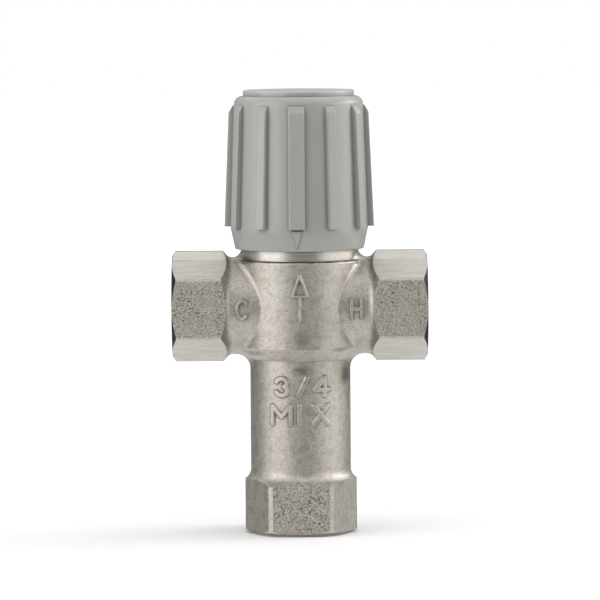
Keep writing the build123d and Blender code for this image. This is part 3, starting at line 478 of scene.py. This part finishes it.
def turned_metal(name, hex_colour, roughness):
    """A turned or drawn metal, with the tool's lines around its axis, drawn 0.2 mm apart."""
    colour = linear(hex_colour)
    material, tree, shader = new_material(name, base_color=colour, metallic=1.0, roughness=roughness)
    point = add_node(tree, "TexCoord", out="Object")
    height = add_node(tree, "SeparateXYZ", {"Vector": point}, out="Z")
    lathe = {"W": height, "Scale": 1 / (0.2 * MM), "Detail": 1.0}
    lines = add_node(tree, "TexNoise", lathe, noise_dimensions="1D")
    bump = {"Height": lines, "Distance": 0.01 * MM, "Strength": 0.5}
    tree.links.new(add_node(tree, "Bump", bump), shader.inputs["Normal"])
    return material


INNER_SHARP_DEGREES = 30
brass = turned_metal("turned_brass", "#d9b46a", 0.28)
for node_name in ("bonnet", "spindle", "setting_nut", "overload_plunger", "element_guide"):
    smooth_copy(node_name, INNER_SHARP_DEGREES, brass)
copper = turned_metal("drawn_copper", "#d98a63", 0.3)
smooth_copy("element_cup", INNER_SHARP_DEGREES, copper)
steel = turned_metal("stainless_steel", "#b9b9ba", 0.3)
for node_name in (
    "element_pin",
    "knob_screw",
    "spring_seat_ring",
    "divider_clip",
    "plunger_clip",
    "spindle_clip",
):
    smooth_copy(node_name, INNER_SHARP_DEGREES, steel)
smooth_copy("return_spring", INNER_SHARP_DEGREES, steel, pressed_by="shuttle_group")
from_below = {"pressed_by": "plunger_group", "pressed_from_below": True}
smooth_copy("overload_spring", INNER_SHARP_DEGREES, steel, **from_below)

# The inner plastic, rubber and wax pieces. The shuttle and the divider are moulded in a black
# glass-filled polymer, the thrust washer in white acetal, the seals are black EPDM rubber, and
# the wax is loaded with copper powder.


def soft_or_moulded(name, hex_colour, roughness, lump):
    """An even finish, broken up by a fine texture with lumps of the given size."""
    colour = linear(hex_colour)
    material, tree, shader = new_material(name, base_color=colour, roughness=roughness)
    point = add_node(tree, "TexCoord", out="Object")
    texture = add_node(tree, "TexNoise", {"Vector": point, "Scale": 1 / (lump * MM)})
    bump = {"Height": texture, "Distance": 0.02 * MM, "Strength": 0.3}
    tree.links.new(add_node(tree, "Bump", bump), shader.inputs["Normal"])
    return material


polymer = soft_or_moulded("black_filled_polymer", "#1c1c1e", 0.45, 0.5)
for node_name in ("shuttle", "divider_ring"):
    smooth_copy(node_name, INNER_SHARP_DEGREES, polymer)
acetal = soft_or_moulded("white_acetal", "#ecebe6", 0.4, 0.4)
smooth_copy("thrust_washer", INNER_SHARP_DEGREES, acetal)
epdm = soft_or_moulded("black_epdm_rubber", "#141414", 0.6, 0.3)
for node_name in (
    "bonnet_oring",
    "divider_oring",
    "shuttle_seal",
    "spindle_oring_upper",
    "spindle_oring_lower",
    "element_sleeve",
):
    smooth_copy(node_name, INNER_SHARP_DEGREES, epdm)
wax = soft_or_moulded("copper_loaded_wax", "#b9835c", 0.6, 0.4)
smooth_copy("wax_charge", INNER_SHARP_DEGREES, wax)

# The studio. The valve stands on white paper between two softboxes, in a grey room with a
# bright ceiling and a bright table. A raised lamp at the back right puts the glints on the
# knob's shoulder, and two fill lamps light the sides of the knob but don't show in the metal.
# in metres: half the paper's width, and where its own light starts and is full
FLOOR_HALF = 6.0
LIT_FROM = 0.3
LIT_FULLY = 1.2


def white_floor():
    """A flat square of white paper, which neither lights the object nor shows in its metal.

    It is lit from below away from the object, so that it meets the white wall with no edge.
    """
    corner_x, corner_y = np.array([-1, 1, 1, -1]), np.array([-1, -1, 1, 1])
    corners = FLOOR_HALF * np.stack([corner_x, corner_y, np.zeros(4)], 1)
    mesh = bpy.data.meshes.new("white_floor")
    mesh.from_pydata(corners, [], [(0, 1, 2, 3)])
    paper, tree, shader = new_material("white_paper", base_color=linear("#dbdbdb"), roughness=0.9)
    point = add_node(tree, "TexCoord", out="Object")
    apart = add_node(tree, "VectorMath", {0: point}, out="Value", operation="LENGTH")
    lit = {"Value": apart, "From Min": LIT_FROM, "From Max": LIT_FULLY, "To Max": 0.5}
    shader.inputs["Emission Color"].default_value = linear("#ffffff")
    tree.links.new(add_node(tree, "MapRange", lit), shader.inputs["Emission Strength"])
    mesh.materials.append(paper)
    floor = bpy.data.objects.new("white_floor", mesh)
    floor.visible_glossy = False
    floor.visible_diffuse = False
    bpy.context.collection.objects.link(floor)


def softbox(name, azimuth, height, distance, size, radiance, seen_in_metal=True):
    """A rectangular lamp turned to the object, at an azimuth from the front, plus to the right.

    Its power is pi times its area times its radiance.
    """
    lamp = bpy.data.lights.new(name, "AREA")
    lamp.shape = "RECTANGLE"
    lamp.size, lamp.size_y = size
    lamp.energy = math.pi * size[0] * size[1] * radiance
    turn = math.radians(azimuth)
    holder = bpy.data.objects.new(name, lamp)
    holder.location = (distance * math.sin(turn), -distance * math.cos(turn), height)
    away = holder.location - Vector((0, 0, PORT_AXIS * MM))
    holder.rotation_euler = away.to_track_quat("Z", "Y").to_euler()
    holder.visible_glossy = seen_in_metal
    bpy.context.collection.objects.link(holder)


def grey_room(walls, ceiling):
    """White to the eye; to the object, grey walls between a bright ceiling and table."""
    world = bpy.data.worlds.new("studio")
    bpy.context.scene.world = world
    world.use_nodes = True
    tree = world.node_tree
    tree.nodes.clear()
    direction = add_node(tree, "TexCoord", out="Generated")
    height = add_node(tree, "SeparateXYZ", {"Vector": direction}, out="Z")
    level = between(tree, height, -0.4, 0.5, 0.15)
    room = add_node(tree, "Mix", {"Factor": level, "A": ceiling, "B": walls})
    seen = add_node(tree, "LightPath", out="Is Camera Ray")
    strength = add_node(tree, "Mix", {"Factor": seen, "A": room, "B": 1.0})
    sky = add_node(tree, "Background", {"Color": linear("#ffffff"), "Strength": strength})
    add_node(tree, "OutputWorld", {"Surface": sky})


white_floor()
grey_room(0.34, 1.3)
softbox("left_softbox", -57, 0.3, 1.0, (1.1, 0.9), 2.3)
softbox("right_softbox", 76, 0.2, 1.0, (1.3, 0.8), 1.4)
softbox("glint_softbox", 106, 0.48, 1.0, (0.7, 0.42), 4.5)
softbox("left_fill", -88, 0.5, 1.0, (0.8, 0.6), 1.2, seen_in_metal=False)
softbox("right_fill", 102, 0.6, 1.0, (0.9, 0.7), 1.6, seen_in_metal=False)

# The camera. It stands 1.38 m in front of the valve, a little above the knob, looks slightly
# down at the middle of the valve and is rolled by less than half a degree.
CAMERA_PLACE = (0, -1.379, 0.175)
CAMERA_AIM = (0.00004, 0, 0.0751)
CAMERA_LENS = 256.4
CAMERA_ROLL_DEGREES = -0.4
camera_data = bpy.data.cameras.new("camera")
camera_data.lens = CAMERA_LENS
camera_data.clip_end = 50
camera = bpy.data.objects.new("camera", camera_data)
camera.location = CAMERA_PLACE
view_line = camera.location - Vector(CAMERA_AIM)
roll = Quaternion((0, 0, 1), math.radians(CAMERA_ROLL_DEGREES))
camera.rotation_euler = (view_line.to_track_quat("Z", "Y") @ roll).to_euler()
bpy.context.collection.objects.link(camera)
bpy.context.scene.camera = camera
bpy.context.scene.view_settings.view_transform = "Standard"
